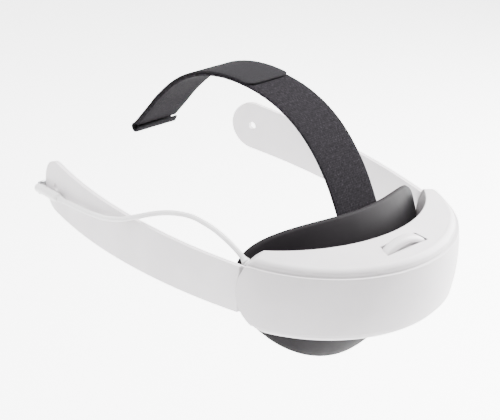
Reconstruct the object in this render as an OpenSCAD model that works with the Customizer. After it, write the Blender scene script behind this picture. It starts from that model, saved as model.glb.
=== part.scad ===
// Powered head strap for a virtual reality headset.
// A crescent battery housing sits behind the head. Two side bands slide out of its ends, a fit
// wheel in the middle draws them in, a cradle holds the back of the head, and a woven strap
// goes over the crown. The origin is the centre of the housing's round back wall, at the middle
// of its height. +X is the wearer's right, +Y is forward and +Z is up.

/* [Housing] */
// Radius of the back wall at its widest
housing_r = 82.7; // [76:0.1:99]
// Height of the housing
housing_h = 49; // [46:0.5:58]
// Depth of the housing from back to front at the middle
housing_depth = 28; // [26:0.5:33]
// Half of the angle that the housing wraps round the head
housing_reach = 76.5; // [74:0.5:78]
// Radius of the housing's hollow inner wall
inner_r = 85; // [80:0.5:100]
// How far the back wall bulges between its top and bottom edges
crown = 3; // [1:0.1:4]
// Radius of the soft edges at the top and bottom of the back wall
edge_r = 5; // [3:0.5:8]
// How much lower the top face is at its outer edge than at its inner edge
top_slope = 4.5; // [0:0.5:7]
// Thickness of the housing's walls
wall = 2; // [1.6:0.1:2.6]

/* [Side bands] */
// Thickness of a side band
band_t = 2.8; // [2:0.1:3.4]
// Height of a band at the housing
band_h_rear = 27.6; // [22:0.2:32]
// Height of a band at its front end
band_h_front = 31.5; // [24:0.5:36]
// How far a band bows out past the housing's mouth
band_flare = 12.2; // [10:0.1:15]
// How far forward the widest place is
widest_y = 73.8; // [62:0.1:88]
// How far forward the hole at the front end is
hole_y = 135.1; // [112:0.1:162]
// How far in the hole is from a band's widest place
hole_in = 6.8; // [5.5:0.1:8.5]
// How far the band goes on past its hole
band_tip = 15; // [12.5:0.1:18]
// Radius of the hole at a band's front end
hole_r = 2.5; // [1.5:0.1:4]
// How far each band can be drawn in
travel = 15; // [12:0.5:18]

/* [Fit wheel] */
// Radius of the fit wheel
wheel_r = 26; // [25.4:0.1:28]
// Thickness of the fit wheel
wheel_t = 7; // [5:0.5:7.5]
// Radius of the wheel's rounded rim
wheel_edge = 2.4; // [1.5:0.1:2.4]
// Radius of the wheel's steel shaft
shaft_r = 2; // [1.5:0.1:2.5]

/* [Gear and racks] */
// Tooth size of the pinion and racks
gear_module = 1; // [0.8:0.05:1.2]
// Number of teeth on the pinion
pinion_teeth = 10; // [8:2:12]
// Thickness of a rack strip
rack_t = 2; // [1.4:0.1:2.4]

/* [Cradle] */
// Radius of the cradle from side to side
cradle_side_r = 98; // [94:1:112]
// Radius of the cradle from top to bottom
cradle_up_r = 80; // [72:0.2:92]
// Gap between the housing and the cradle at the middle
cradle_gap = 6.7; // [5.5:0.1:9]
// Height from the cradle's widest line to its top edge
cradle_up = 37.8; // [32:0.2:42]
// Height from the cradle's widest line to its bottom edge
cradle_down = 53.6; // [44:0.2:58]
// Thickness of the cradle shell
cradle_t = 2.4; // [1.8:0.1:3]
// Thickness of the soft pad inside the cradle
pad_t = 5; // [3:0.5:8]

/* [Crown strap] */
// Width of the strap
strap_w = 32; // [25:0.5:38]
// Thickness of the woven strap
strap_t = 1.6; // [1.2:0.1:2.4]
// Thickness of the smooth return flap
flap_t = 1.2; // [0.8:0.1:1.8]

/* [Battery and electronics] */
// Length of a battery cell
cell_l = 36; // [28:0.5:38]
// Height of a battery cell
cell_h = 30; // [24:0.5:31]
// Thickness of a battery cell
cell_t = 8; // [5:0.2:8.2]
// Angle from the middle of the housing to the middle of a cell
cell_angle = 40; // [38:0.5:42]
// Thickness of the circuit board
board_t = 1.2; // [0.8:0.1:1.6]

/* [Cord] */
// Diameter of the cord
cord_d = 3; // [2.6:0.1:3.2]

/* [Hidden] */
$fn = 96;

white = "#e9e7e7";
light_grey = "#d8d6d6";
dark_grey = "#4a484b";
charcoal = "#353436";

// Clearances
slide_gap = 0.4;
spin_gap = 0.05;
part_gap = 0.3;

// Housing
half_h = housing_h / 2;
wall_r = housing_r - crown;
crown_r = (half_h * half_h + crown * crown) / (2 * crown);
inner_y = inner_r - (housing_r - housing_depth);
end_r = half_h;
end_angle = housing_reach - atan(end_r / wall_r);
section_inner_r = housing_r - 1.4 * housing_depth;
ring_far = 2 * housing_r;

// Side bands
mouth_inset = 3.05;
mouth_x = (housing_r - wall - mouth_inset) * sin(housing_reach);
mouth_y = -housing_r * cos(housing_reach);
widest_x = mouth_x + band_flare;
hole_x = widest_x - hole_in;
rear_r = ((widest_y - mouth_y) * (widest_y - mouth_y) + (widest_x - mouth_x) * (widest_x - mouth_x))
    / (2 * (widest_x - mouth_x));
front_r = ((hole_y - widest_y) * (hole_y - widest_y) + (widest_x - hole_x) * (widest_x - hole_x))
    / (2 * (widest_x - hole_x));
mouth_lean = asin((widest_y - mouth_y) / rear_r);
band_tail = 3;
band_start_y = mouth_y - band_tail;
band_end_y = hole_y + band_tip;
band_mid_rear = -1.3;
band_mid_front = 4.15;
band_bow = 0.6;
pocket_depth = 1.3;
mouth_wall = 8;
bend_gap = 0.3;

// Fit wheel and gear
wheel_room = 4.8;
rack_room = 2.6;
washer_t = 0.5;
wheel_y = housing_r - housing_depth + wall + wheel_room + wheel_t / 2;
rack_r = housing_r - wall - rack_room - rack_t;
shaft_back = housing_r - wall - 1;
pinion_r = gear_module * pinion_teeth / 2;
tooth_pitch = PI * gear_module;
pinion_t = 4;
pinion_y = rack_r + rack_t / 2;
hub_r = 4.5;
rack_mid_r = rack_r + rack_t / 2;
rack_pitch_angle = tooth_pitch / rack_mid_r * 180 / PI;
rack_back = pinion_r + 7 * gear_module;
rack_end_angle = 70;
backlash = 0.25;

// Cradle
cradle_y = housing_r - housing_depth - cradle_gap;
cradle_half_w = mouth_x - band_t / 2 - 0.5;
cradle_axis_y = cradle_side_r - cradle_y;
cradle_ring = cradle_side_r - cradle_up_r;
pad_gap = 0.1;
cradle_z = -13.5;
cradle_mid_z = -7.3;
post_x = 24;
post_z = [8, -12];
post_r = 4.2;
screw_r = 1.25;
screw_head_r = 2.4;
screw_tip_y = cradle_y - 0.6;
screw_seat_y = housing_r - housing_depth + wall - 2.6;

// Cover screws
cover_screw_angles = [-36, -15, 15, 36];
cover_screw_z = [-19, 18.3];
cover_screw_r = 1;
cover_screw_l = 8;
cover_head_r = 1.9;
cover_head_h = 1.1;
cover_post_r = 2.4;

// Chassis
chassis_t = 1.2;
chassis_r = rack_r - part_gap - chassis_t;
chassis_reach = 54;
chassis_low = -14.5;
chassis_high = 13;

// Battery
cell_r = sqrt((chassis_r - 0.2) * (chassis_r - 0.2) - cell_l * cell_l / 4) - cell_t;
foam_t = 1;

// Circuit board
board_angle = 60;
board_r = rack_r - 3.6;
board_w = 13.6;
board_h = 26;

// Crown strap: side-view points forward of the cradle, as [forward, up]
STRAP_PATH = [[12.2, 17], [19.2, 30], [28, 44.5], [39, 57.5], [52, 68], [67, 75.3], [84, 79.6],
    [104, 80.8], [122, 78.8], [139, 73.2], [154, 64], [168, 50.5], [179, 37], [188, 26]];
strap_steps = 5;
flap_from = 6.4;
strap_to_flap = 0.2;
anchor_t = 1.2;
anchor_h = 9;
rivet_r = 1.5;
rivet_l = 5;

// Cord route from the gland to the plug, as [right, forward, up]
CORD_PATH = [[-70, -13.5, 13.3], [-70.4, -9, 16.2], [-71.6, 0, 20.6], [-73.5, 10, 24.3],
    [-76, 23, 26.2], [-80, 35, 24.9], [-84.5, 45, 21.8], [-89.3, 53.5, 18], [-92, 63.5, 13.4],
    [-92.5, 76, 9.4], [-92, 87, 7.2], [-91.2, 98, 5.6], [-90.2, 109, 4.2], [-89.1, 119, 2.9]];
cord_steps = 3;
cord_sides = 8;
plug_dir = [6.9, 33, -5.5];
plug_relief_l = 5;
plug_collar_l = 2.5;
plug_l = 28.7;
plug_r = 2.8;
plug_nose = 1.2;
tip_w = 8.2;
tip_t = 2.4;
tip_l = 6.5;
tip_back = 2.2;
gland_l = 6.5;
gland_r = 2.5;
gland_shank = 6;

// ---- Shared shapes ----

// Point on a smooth curve through the points p, at a place t counted in points
function curve_at(p, t) = let(
    n = len(p) - 1,
    i = min(floor(t), n - 1),
    u = t - i,
    a = p[max(i - 1, 0)],
    b = p[i],
    c = p[i + 1],
    d = p[min(i + 2, n)]
) 0.5 * ((2 * b) + (c - a) * u + (2 * a - 5 * b + 4 * c - d) * u * u + (3 * b - a - 3 * c + d) * u * u * u);

function curve(p, from, to, steps) = [for (k = [0 : steps]) curve_at(p, from + (to - from) * k / steps)];

function unit(v) = v / norm(v);

// Direction of a row of points at point i
function heading(p, i) = unit(p[min(i + 1, len(p) - 1)] - p[max(i - 1, 0)]);

// A flat row of points moved sideways by d
function beside(p, d) = [for (i = [0 : len(p) - 1]) let(h = heading(p, i)) p[i] + d * [-h[1], h[0]]];

function backwards(p) = [for (i = [len(p) - 1 : -1 : 0]) p[i]];

// Half of a superellipse's height at a share s of its half width
function bow(s, power) = pow(1 - pow(min(abs(s), 1), power), 1 / power);

// A ribbon of thickness t whose inner side follows the side-view points p
module ribbon(p, t, w) {
    rotate([90, 0, 90])
        translate([0, 0, -w / 2])
            linear_extrude(w)
                polygon(concat(p, backwards(beside(p, t))));
}

// A tube of diameter d swept along the points p
module swept_tube(p, d, sides) {
    n = len(p);
    rings = [for (i = [0 : n - 1]) let(
        h = heading(p, i),
        side = unit(cross(h, [0, 0, 1])),
        up = cross(side, h)
    ) for (k = [0 : sides - 1]) p[i] + d / 2 * (cos(360 * k / sides) * side + sin(360 * k / sides) * up)];
    walls = [for (i = [0 : n - 2], k = [0 : sides - 1]) let(
        a = i * sides + k,
        b = i * sides + (k + 1) % sides
    ) [a, b, b + sides, a + sides]];
    first = [[for (k = [sides - 1 : -1 : 0]) k]];
    last = [[for (k = [0 : sides - 1]) (n - 1) * sides + k]];
    polyhedron(points = rings, faces = concat(walls, first, last), convexity = 4);
}

// The crescent section, drawn inset from the housing's skin
module housing_section(inset) {
    slope_run = housing_depth;
    r_in = section_inner_r;
    r_out = housing_r - inset;
    bottom = -half_h + inset;
    top_in = half_h - inset;
    top_out = half_h - top_slope - inset;
    soft = max(edge_r - inset, 1);
    intersection() {
        translate([housing_r - crown_r, -1])
            circle(crown_r - inset, $fn = 256);
        union() {
            polygon([[r_in, bottom], [wall_r - soft, bottom], [wall_r - soft, top_out],
                [wall_r - slope_run, top_in], [r_in, top_in]]);
            translate([r_in, bottom + soft])
                square([r_out - r_in, top_out - bottom - 2 * soft]);
            for (z = [bottom + soft, top_out - soft])
                translate([wall_r - soft, z])
                    circle(soft, $fn = 48);
        }
    }
}

// The outline of the housing from behind, with round ends
module end_rounding(inset) {
    for (side = [-1, 1])
        rotate([0, 0, side * end_angle])
            rotate([90, 0, 0]) {
                cylinder(h = ring_far, r = end_r - inset);
                translate([side > 0 ? -ring_far / 2 : 0, -end_r + inset, 0])
                    cube([ring_far / 2, 2 * (end_r - inset), ring_far]);
            }
}

// The whole housing as one solid, inset from its skin, with its hollow front at inner_r + front
module housing_body(inset, front) {
    difference() {
        intersection() {
            rotate([0, 0, -175])
                rotate_extrude(angle = 170)
                    housing_section(inset);
            end_rounding(inset);
        }
        translate([0, inner_y, -ring_far / 2])
            cylinder(h = ring_far, r = inner_r + front, $fn = 256);
    }
}

// A place on a band's plan at y, moved outward by out
function band_at(y, out) = let(
    r = y < widest_y ? rear_r : front_r,
    a = asin((y - widest_y) / r)
) [widest_x - r + (r + out) * cos(a), widest_y + (r + out) * sin(a)];

// The plan of a band between two depths from its middle line
module band_plan(inside, outside, from_y, to_y) {
    steps = 24;
    rows = [for (k = [0 : steps]) from_y + (to_y - from_y) * k / steps];
    polygon(concat([for (y = rows) band_at(y, outside)], [for (y = backwards(rows)) band_at(y, inside)]));
}

// Half height and middle height of a band at a share s of its length
function band_half(s) = (band_h_rear + (band_h_front - band_h_rear) * s) / 2;
function band_mid(s) = band_mid_rear + (band_mid_front - band_mid_rear) * s * s + band_bow * s * (1 - s);

// The side view of a band, with its round front end
module band_side() {
    steps = 12;
    turns = 20;
    share = function (y) max((y - mouth_y) / (hole_y - mouth_y), 0);
    round_y = band_end_y - band_half(1);
    mid = band_mid(share(round_y));
    half = band_half(share(round_y));
    rows = [for (k = [0 : steps]) band_start_y - 2 + (round_y - band_start_y + 2) * k / steps];
    top = [for (y = rows) let(s = share(y)) [y, band_mid(s) + band_half(s)]];
    bottom = [for (y = backwards(rows)) let(s = share(y)) [y, band_mid(s) - band_half(s)]];
    nose = [for (k = [1 : turns - 1])
        let(a = 90 - 180 * k / turns) [round_y + half * cos(a), mid + half * sin(a)]];
    polygon(concat(top, nose, bottom));
}

module band_solid() {
    intersection() {
        translate([0, 0, -housing_h])
            linear_extrude(2 * housing_h)
                band_plan(-band_t / 2, band_t / 2, band_start_y, band_end_y);
        rotate([90, 0, 90])
            linear_extrude(2 * widest_x)
                band_side();
    }
}

// The slot that a band slides in: a way out of the housing's end, and a pocket in its wall
module band_mouth() {
    intersection() {
        band_way(travel + band_tail + 4);
        housing_body(wall - pocket_depth, -20);
    }
    band_way(mouth_wall);
}

// The space that a band sweeps, from length behind the housing's mouth
module band_way(length) {
    low = band_mid_rear - band_h_rear / 2 - slide_gap - 0.3;
    translate([mouth_x, mouth_y, 0])
        rotate([0, 0, -mouth_lean])
            translate([-band_t / 2 - slide_gap - bend_gap, -length, low])
                cube([band_t + 2 * slide_gap + bend_gap, length + 10, band_h_rear + 2 * slide_gap + 1.2]);
}

// A pole along Y, from the back at y = -far to y = -near
module back_pole(x, z, r, near, far) {
    translate([x, -near, z])
        rotate([90, 0, 0])
            cylinder(h = far - near, r = r);
}

// A curved sheet of the cradle, from depth near to depth far inside its back face
module cradle_sheet(near, far) {
    translate([0, cradle_axis_y, cradle_z])
        rotate([0, 0, -150])
            rotate_extrude(angle = 120)
                intersection() {
                    translate([cradle_ring, 0])
                        difference() {
                            circle(cradle_up_r - near, $fn = 256);
                            circle(cradle_up_r - far, $fn = 256);
                        }
                    translate([cradle_ring + 10, -cradle_up_r])
                        square([2 * cradle_side_r, 2 * cradle_up_r]);
                }
}

// All that lies inside a depth from the cradle's back face
module cradle_core(depth) {
    translate([0, cradle_axis_y, cradle_z])
        rotate([0, 0, -150])
            rotate_extrude(angle = 120)
                intersection() {
                    translate([cradle_ring, 0])
                        circle(cradle_up_r - depth, $fn = 256);
                    translate([cradle_ring + 10, -cradle_up_r])
                        square([2 * cradle_side_r, 2 * cradle_up_r]);
                }
}

// The outline of the cradle from the front, shrunk by inset
module cradle_outline(inset) {
    steps = 16;
    half_w = cradle_half_w - inset;
    up = cradle_up - inset;
    down = cradle_down - inset;
    place = function (k) sin(90 * k / steps);
    top = [for (k = [-steps : steps]) [half_w * place(k), cradle_mid_z + up * bow(place(k), 2.9)]];
    bottom = [for (k = [steps - 1 : -1 : 1 - steps])
        [half_w * place(k), cradle_mid_z - down * bow(place(k), 1.7)]];
    translate([0, housing_r, 0])
        rotate([90, 0, 0])
            linear_extrude(2 * housing_r)
                polygon(concat(top, bottom));
}

module cradle_layer(near, far, inset) {
    intersection() {
        cradle_sheet(near, far);
        cradle_outline(inset);
    }
}

// ---- Housing ----

module outer_cover() {
    color(white)
        difference() {
            union() {
                difference() {
                    housing_body(0, 0);
                    housing_body(wall, -1);
                }
                intersection() {
                    housing_body(wall / 2, 0);
                    union() {
                        cover_screw_places()
                            cover_post();
                        back_pole(0, 0, 2 * shaft_r, pinion_y + pinion_t / 2 + 0.4, housing_r);
                    }
                }
            }
            back_pole(0, 0, shaft_r, pinion_y, shaft_back);
            cover_screw_places()
                cylinder(h = cover_screw_l + 1, r = cover_screw_r);
            wheel_slot();
            band_mouth();
            mirror([1, 0, 0])
                band_mouth();
            port_hole();
            light_hole();
            gland_hole();
        }
}

module wheel_slot() {
    slot_t = wheel_t + 2 * slide_gap;
    translate([0, slot_t / 2 - wheel_y, 0])
        rotate([90, 0, 0])
            cylinder(h = slot_t, r = wheel_r + slide_gap);
}

module inner_cover() {
    color(white)
        difference() {
            union() {
                intersection() {
                    housing_body(wall + part_gap / 2, 0);
                    translate([0, inner_y, -half_h])
                        cylinder(h = housing_h, r = inner_r + wall, $fn = 256);
                }
                shaft_boss();
                screw_seats();
            }
            wheel_slot();
            back_pole(0, 0, shaft_r, housing_r - housing_depth + 1, wheel_y);
            cradle_screw_holes(screw_r + 0.15);
            cover_screw_places()
                cover_screw_recess();
            band_mouth();
            mirror([1, 0, 0])
                band_mouth();
            gland_hole();
        }
}

module shaft_boss() {
    near = housing_r - housing_depth + wall - 0.5;
    back_pole(0, 0, 2 * shaft_r, near, wheel_y - wheel_t / 2 - washer_t - 0.2);
}

module chassis() {
    color(light_grey)
        difference() {
            intersection() {
                rotate([0, 0, -90 - chassis_reach])
                    rotate_extrude(angle = 2 * chassis_reach)
                        translate([chassis_r, chassis_low])
                            square([chassis_t, chassis_high - chassis_low]);
                end_rounding(wall + part_gap);
            }
            back_pole(0, 0, hub_r + 1.5, wheel_y, housing_r);
            back_pole(0, 0, pinion_r + gear_module + 1.5, wheel_y + wheel_t, housing_r);
        }
}

// Places its children on the inner cover's hollow face, pointing back into the housing
module cover_screw_places() {
    for (angle = cover_screw_angles, z = cover_screw_z)
        translate([0, inner_y, z])
            rotate([0, 0, angle])
                translate([0, -inner_r, 0])
                    rotate([90, 0, 0])
                        children();
}

module cover_screw_recess() {
    translate([0, 0, -1])
        cylinder(h = cover_head_h + 1.4, r = cover_head_r + 0.15);
    cylinder(h = cover_screw_l + 1, r = cover_screw_r + 0.1);
}

module cover_post() {
    translate([0, 0, wall + 0.1])
        cylinder(h = 30, r = cover_post_r);
}

module cover_screws() {
    color("silver")
        cover_screw_places() {
            translate([0, 0, 0.4])
                cylinder(h = cover_head_h, r = cover_head_r);
            translate([0, 0, 0.5])
                cylinder(h = cover_screw_l - 0.5, r = cover_screw_r);
        }
}

// ---- Fit wheel and drive ----

// Half of the wheel's section: a rounded rim and a shallow recess in each face
module wheel_section() {
    recess = wheel_r - wheel_edge - hub_r - 3;
    difference() {
        union() {
            translate([0, -wheel_t / 2])
                square([wheel_r - wheel_edge, wheel_t]);
            translate([0, wheel_edge - wheel_t / 2])
                square([wheel_r, wheel_t - 2 * wheel_edge]);
            for (face = [-1, 1])
                translate([wheel_r - wheel_edge, face * (wheel_t / 2 - wheel_edge)])
                    circle(wheel_edge, $fn = 48);
        }
        for (face = [-1, 1])
            translate([hub_r + 2, face * wheel_t / 2 - 0.8])
                square([recess, 1.6]);
    }
}

module fit_wheel() {
    color(white)
        difference() {
            union() {
                translate([0, -wheel_y, 0])
                    rotate([90, 0, 0])
                        rotate_extrude()
                            wheel_section();
                back_pole(0, 0, hub_r, wheel_y, pinion_y - pinion_t / 2);
            }
            back_pole(0, 0, shaft_r + spin_gap, 0, ring_far);
        }
}

module drive_pinion() {
    root_r = pinion_r - 1.25 * gear_module;
    color(light_grey)
        translate([0, pinion_t / 2 - pinion_y, 0])
            rotate([90, 0, 0])
                difference() {
                    union() {
                        cylinder(h = pinion_t, r = root_r);
                        for (k = [0 : pinion_teeth - 1])
                            rotate([0, 0, 360 * (k + 0.5) / pinion_teeth])
                                linear_extrude(pinion_t)
                                    pinion_tooth(root_r);
                    }
                    translate([0, 0, -1])
                        cylinder(h = pinion_t + 2, r = shaft_r + spin_gap);
                }
}

module pinion_tooth(root_r) {
    tip_r = pinion_r + 0.9 * gear_module;
    base = 1.1 * gear_module;
    half = 0.72 * gear_module - backlash / 2;
    tip = 0.3 * gear_module;
    polygon([[-base, root_r - 0.5], [-half, pinion_r], [-tip, tip_r], [tip, tip_r], [half, pinion_r],
        [base, root_r - 0.5]]);
}

module wheel_shaft() {
    color("silver")
        back_pole(0, 0, shaft_r, housing_r - housing_depth + 1, shaft_back);
}

module shaft_washer() {
    face_y = wheel_y - wheel_t / 2;
    color("silver")
        difference() {
            back_pole(0, 0, 2 * shaft_r, face_y - washer_t - 0.2, face_y - 0.2);
            back_pole(0, 0, shaft_r, 0, wheel_y);
        }
}

module detent_spring() {
    front = wheel_y - wheel_t / 2 - 1.2;
    color("silver")
        difference() {
            union() {
                back_pole(0, 0, 7, front - 0.4, front);
                translate([-2.5, -front, -16])
                    cube([5, 0.4, 16]);
            }
            back_pole(0, 0, 2 * shaft_r + 0.2, 0, wheel_y);
        }
}

// A rack strip that follows the back wall; up is 1 for teeth below the strip, -1 for above
module rack(side, up) {
    strip_low = pinion_r + 1.25 * gear_module;
    strip_h = rack_back - strip_low;
    teeth = 8;
    color(light_grey)
        mirror([side > 0 ? 0 : 1, 0, 0])
            intersection() {
                union() {
                    rotate([0, 0, -90 - 1.5 * rack_pitch_angle])
                        rotate_extrude(angle = rack_end_angle + 1.5 * rack_pitch_angle)
                            translate([rack_r, up > 0 ? strip_low : -rack_back])
                                square([rack_t, strip_h]);
                    for (k = [-1 : teeth - 2])
                        rotate([0, 0, k * rack_pitch_angle])
                            rack_tooth(up, strip_low);
                }
                rotate([0, 0, -90 - 1.5 * rack_pitch_angle])
                    rotate_extrude(angle = 90)
                        translate([rack_r, -housing_h])
                            square([rack_t, 2 * housing_h]);
            }
}

module rack_tooth(up, strip_low) {
    half = tooth_pitch / 4 - backlash / 2;
    low = pinion_r - 0.9 * gear_module;
    tip = half - tan(20) * 0.9 * gear_module;
    base = half + tan(20) * 1.25 * gear_module;
    mirror([0, 0, up > 0 ? 0 : 1])
        translate([0, -rack_r + 1, 0])
            rotate([90, 0, 0])
                linear_extrude(rack_t + 2)
                    polygon([[-base, strip_low + 0.1], [-tip, low], [tip, low], [base, strip_low + 0.1]]);
}

module left_rack() {
    rack(-1, -1);
}

module right_rack() {
    rack(1, 1);
}

// ---- Side bands ----

module right_band() {
    color(white)
        difference() {
            band_solid();
            translate([0, 0, -housing_h])
                linear_extrude(2 * housing_h)
                    intersection() {
                        band_plan(0, band_t, band_start_y - 5, mouth_y + 6);
                        translate([0, mouth_y - 20])
                            square([2 * housing_r, 21.5]);
                    }
            hole_drill();
        }
}

// The bore at the front end, square to the band
module hole_drill() {
    lean = asin((hole_y - widest_y) / front_r);
    translate([hole_x, hole_y, band_mid_front])
        rotate([0, 90, lean])
            translate([0, 0, -10])
                cylinder(h = 20, r = hole_r);
}

module left_band() {
    mirror([1, 0, 0])
        right_band();
}

// ---- Battery and electronics ----

module cell_place(side) {
    rotate([0, 0, side * cell_angle])
        translate([0, -cell_r, -0.5])
            children();
}

module cell(side) {
    color("#9aa4ad")
        cell_place(side)
            translate([-cell_l / 2, -cell_t, -cell_h / 2])
                cube([cell_l, cell_t, cell_h]);
}

module left_cell() {
    cell(-1);
}

module right_cell() {
    cell(1);
}

module cell_foam() {
    color("#6d6d70")
        for (side = [-1, 1])
            cell_place(side)
                translate([-cell_l / 4 - side * cell_l / 8, 0, -cell_h / 2 + 4])
                    cube([cell_l / 2, foam_t, cell_h - 8]);
}

module board_place() {
    rotate([0, 0, -board_angle])
        translate([0, -board_r, -1])
            children();
}

module circuit_board() {
    color("#2d6b45")
        board_place()
            translate([-board_w / 2, -board_t, -board_h / 2])
                cube([board_w, board_t, board_h]);
}

module board_chips() {
    color(charcoal)
        board_place()
            for (z = [2, 8])
                translate([-4, 0, z])
                    cube([4.5, 1, 4.5]);
}

port_w = 9;
port_d = 3.2;
port_h = 7.3;

module port_place(extra) {
    board_place()
        translate([-port_w / 2 - extra, 0, -half_h + 0.9 - extra])
            children();
}

module charge_port() {
    color("silver")
        port_place(0)
            difference() {
                cube([port_w, port_d, port_h + 1]);
                translate([0.35, 0.35, -1])
                    cube([port_w - 0.7, port_d - 0.7, port_h]);
            }
}

module port_hole() {
    port_place(0.15)
        translate([0, -0.15, -3])
            cube([port_w + 0.3, port_d + 0.3, port_h + 3]);
}

module light_place(r) {
    board_place()
        translate([6, 1.5, -half_h - 0.5])
            cylinder(h = 8, r = r);
}

module status_light() {
    color("#dfe7e2")
        intersection() {
            light_place(0.8);
            housing_body(0.3, 0);
        }
}

module light_hole() {
    light_place(0.9);
}

// ---- Cradle ----

module cradle_shell() {
    color(dark_grey)
        difference() {
            union() {
                difference() {
                    cradle_layer(0, cradle_t, 0);
                    housing_room();
                }
                cradle_posts();
            }
            cradle_screw_holes(screw_r);
            rivet_holes();
            gland_room();
        }
}

// What lies behind the housing's hollow face, as far as its ends
module housing_room() {
    far = 2 * ring_far;
    translate([0, 0, -housing_h])
        linear_extrude(2 * housing_h)
            difference() {
                intersection() {
                    end_plane(1, far);
                    end_plane(-1, far);
                }
                translate([0, inner_y])
                    circle(inner_r - part_gap, $fn = 256);
            }
}

// All that lies behind one end of the housing, in plan
module end_plane(side, far) {
    rotate([0, 0, side * end_angle])
        translate([side > 0 ? -far : -end_r - part_gap, -far])
            square([far + end_r + part_gap, 2 * far]);
}

// The way of the gland and the cord past the cradle's end
module gland_room() {
    back = -heading(cord_points, 0);
    along(cord_points[0] - 4 * back, back)
        cylinder(h = gland_l + gland_shank + 5, r = gland_r + part_gap);
}

// Posts between the housing's hollow front and the middle of the cradle shell
module cradle_posts() {
    difference() {
        intersection() {
            for (x = [-post_x, post_x], z = post_z)
                back_pole(x, z, post_r, cradle_y - 20, housing_r);
            translate([0, inner_y, -half_h])
                cylinder(h = housing_h, r = inner_r - 0.05, $fn = 256);
        }
        cradle_core(cradle_t / 2);
    }
}

module cradle_screw_holes(r) {
    for (x = [-post_x, post_x], z = post_z)
        back_pole(x, z, r, screw_tip_y, wheel_y);
}

module cradle_screws() {
    color("silver")
        for (x = [-post_x, post_x], z = post_z) {
            back_pole(x, z, screw_r - 0.1, screw_tip_y + 0.5, screw_seat_y + 0.5);
            back_pole(x, z, screw_head_r, screw_seat_y, screw_seat_y + 1.6);
        }
}

// Flat seats for the cradle's screws, on the back of the inner cover
module screw_seats() {
    for (x = [-post_x, post_x], z = post_z)
        back_pole(x, z, screw_head_r + 0.8, screw_seat_y - 2, screw_seat_y);
}

module cradle_pad() {
    color(charcoal)
        difference() {
            cradle_layer(cradle_t + pad_gap, cradle_t + pad_gap + pad_t, 5);
            translate([-strap_w / 2 - 3, -housing_r, 12])
                cube([strap_w + 6, 2 * housing_r, 40]);
        }
}

// ---- Crown strap ----

strap_path = [for (p = STRAP_PATH) p - [cradle_y, 0]];
strap_points = curve(strap_path, 0, len(strap_path) - 1, strap_steps * (len(strap_path) - 1));
flap_base = curve(strap_path, flap_from, len(strap_path) - 1, strap_steps * 7);

module crown_strap() {
    color(dark_grey)
        difference() {
            ribbon(strap_points, strap_t, strap_w);
            rivet_holes();
        }
}

// The flap lies on the strap, turns round at the front and meets the strap's end
module strap_flap() {
    last = len(flap_base) - 1;
    tip = flap_base[last];
    ahead = heading(flap_base, last);
    up = [-ahead[1], ahead[0]];
    turn_r = (strap_t + strap_to_flap) / 2 + 1.1;
    centre = tip + ahead * 3 + up * (turn_r - 1.4);
    low = beside(flap_base, strap_t + strap_to_flap);
    turn = [for (a = [75 : -25 : -75]) centre + turn_r * (cos(a) * ahead + sin(a) * up)];
    path = concat(low, turn, [tip + ahead * 0.1 - up * 0.6]);
    color(charcoal)
        ribbon(path, flap_t, strap_w);
}

// Places its children at the strap's foot, with +X along the strap's lean and +Z forward
module strap_foot() {
    foot = strap_path[0];
    lean = heading(strap_points, 0);
    translate([0, foot[0], foot[1]])
        rotate([-atan2(lean[0], lean[1]), 0, 0])
            children();
}

module strap_anchor() {
    color(charcoal)
        difference() {
            strap_foot()
                translate([-strap_w / 2 + 2, 0.05, 0])
                    cube([strap_w - 4, anchor_t, anchor_h]);
            rivet_holes();
        }
}

module rivet_holes() {
    strap_foot()
        rivet_places()
            translate([0, 0, -10])
                cylinder(h = 10.1 + rivet_l, r = rivet_r + 0.05);
}

module rivet_places() {
    for (x = [-strap_w / 4, strap_w / 4])
        translate([x, 0, anchor_h / 2])
            rotate([90, 0, 0])
                children();
}

module anchor_rivets() {
    color("silver")
        strap_foot()
            rivet_places() {
                translate([0, 0, -anchor_t - 0.1 - 0.8])
                    cylinder(h = 0.8, r = rivet_r + 1);
                translate([0, 0, -anchor_t - 0.5])
                    cylinder(h = anchor_t + 0.5 + rivet_l, r = rivet_r);
            }
}

// ---- Cord and plug ----

cord_points = curve(CORD_PATH, 0, len(CORD_PATH) - 1, cord_steps * (len(CORD_PATH) - 1));
cord_last = len(cord_points) - 1;

// Turns +Z to the direction d and moves to the point p
module along(p, d) {
    translate(p)
        rotate([0, acos(d[2] / norm(d)), atan2(d[1], d[0])])
            children();
}

module cord() {
    color(white)
        swept_tube(cord_points, cord_d, cord_sides);
}

module cord_gland() {
    color(light_grey)
        along(cord_points[0], -heading(cord_points, 0)) {
            cylinder(h = gland_l, r1 = cord_d / 2 + 0.5, r2 = gland_r);
            for (k = [1 : 3])
                translate([0, 0, 1.6 * k])
                    cylinder(h = 0.8, r = cord_d / 2 + 0.8 + 0.2 * k);
            translate([0, 0, gland_l - 0.1])
                cylinder(h = gland_shank, r = gland_r);
        }
}

module gland_hole() {
    along(cord_points[0], -heading(cord_points, 0))
        cylinder(h = gland_l + gland_shank + 2, r = gland_r);
}

// A place on the plug's own line, d past the end of the cord
function plug_at(d) = cord_points[cord_last] + unit(plug_dir) * d;

module plug_relief() {
    color(white)
        along(plug_at(0), plug_dir)
            cylinder(h = plug_relief_l, r1 = cord_d / 2 + 0.3, r2 = plug_r - 0.8);
}

module plug_collar() {
    color(light_grey)
        along(plug_at(plug_relief_l), plug_dir)
            cylinder(h = plug_collar_l, r = plug_r - 0.3);
}

module plug_barrel() {
    along(plug_at(plug_relief_l + plug_collar_l), plug_dir) {
        cylinder(h = plug_l - plug_nose, r = plug_r);
        translate([0, 0, plug_l - plug_nose])
            cylinder(h = plug_nose, r1 = plug_r, r2 = plug_r - plug_nose);
    }
}

module plug_body() {
    color(white)
        plug_barrel();
}

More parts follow.
